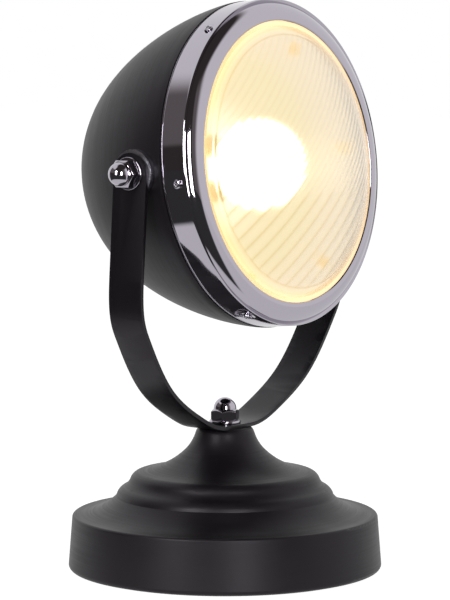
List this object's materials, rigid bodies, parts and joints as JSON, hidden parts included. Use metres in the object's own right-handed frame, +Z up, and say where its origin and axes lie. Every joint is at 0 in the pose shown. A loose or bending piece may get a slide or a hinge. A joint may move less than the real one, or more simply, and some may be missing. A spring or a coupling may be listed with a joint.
{
  "type": "table lamp",
  "caption": "Headlamp-shaped table lamp: a deep round head with a fluted glass lens tilts in a flat bar yoke that swivels on a weighted spun metal base.",
  "frame": {"origin": "centre of the foot, on the surface the lamp stands on", "axes": "+Z up along the swivel axis, +X along the head's tilt axis, the lens faces -Y"},
  "size_m": [0.1994, 0.16, 0.2903],
  "materials": {
    "black_enamel": "satin black stove enamel on steel",
    "chrome": "polished bright chrome plate",
    "zinc_steel": "zinc plated",
    "cast_iron": "as cast",
    "black_rubber": "matt",
    "fluted_glass": "clear pressed glass, fluted",
    "bright_aluminium": "bright reflector",
    "opal_glass": "opal",
    "brass": "plain",
    "black_phenolic": "moulded"
  },
  "bodies": {
    "base": {"base_shell": "black_enamel", "base_weight": "cast_iron", "base_plate": "zinc_steel", "foot_pad": "black_rubber", "center_rod": "zinc_steel", "rod_nuts": "zinc_steel", "rod_washers": "zinc_steel", "base_cap_washer": "chrome", "base_cap_nut": "chrome"},
    "yoke": {"yoke": "black_enamel"},
    "head": {"lamp_shell": "black_enamel", "trim_ring": "chrome", "ring_screws": "chrome", "retainer_clips": "zinc_steel", "lens": "fluted_glass", "lens_gasket": "black_rubber", "reflector": "bright_aluminium", "holder_ring": "black_phenolic", "holder_body": "black_phenolic", "holder_sleeve": "brass", "holder_contact": "brass", "bulb_cap": "brass", "bulb_glass": "opal_glass", "pivot_bolts": "zinc_steel", "inner_saddles": "zinc_steel", "saddle_spacers": "zinc_steel", "pivot_washers": "chrome", "pivot_cap_nuts": "chrome", "cord_grommet": "black_rubber"}
  },
  "joints": [
    {"name": "swivel", "type": "hinge", "parent": "base", "child": "yoke", "pos_m": [0, 0, 0.073], "axis": [0, 0, 1], "range_deg": [-175, 175]},
    {"name": "tilt", "type": "hinge", "parent": "yoke", "child": "head", "pos_m": [0, -0.0077, 0.206], "axis": [-1, 0, 0], "range_deg": [-96, 84]}
  ]
}
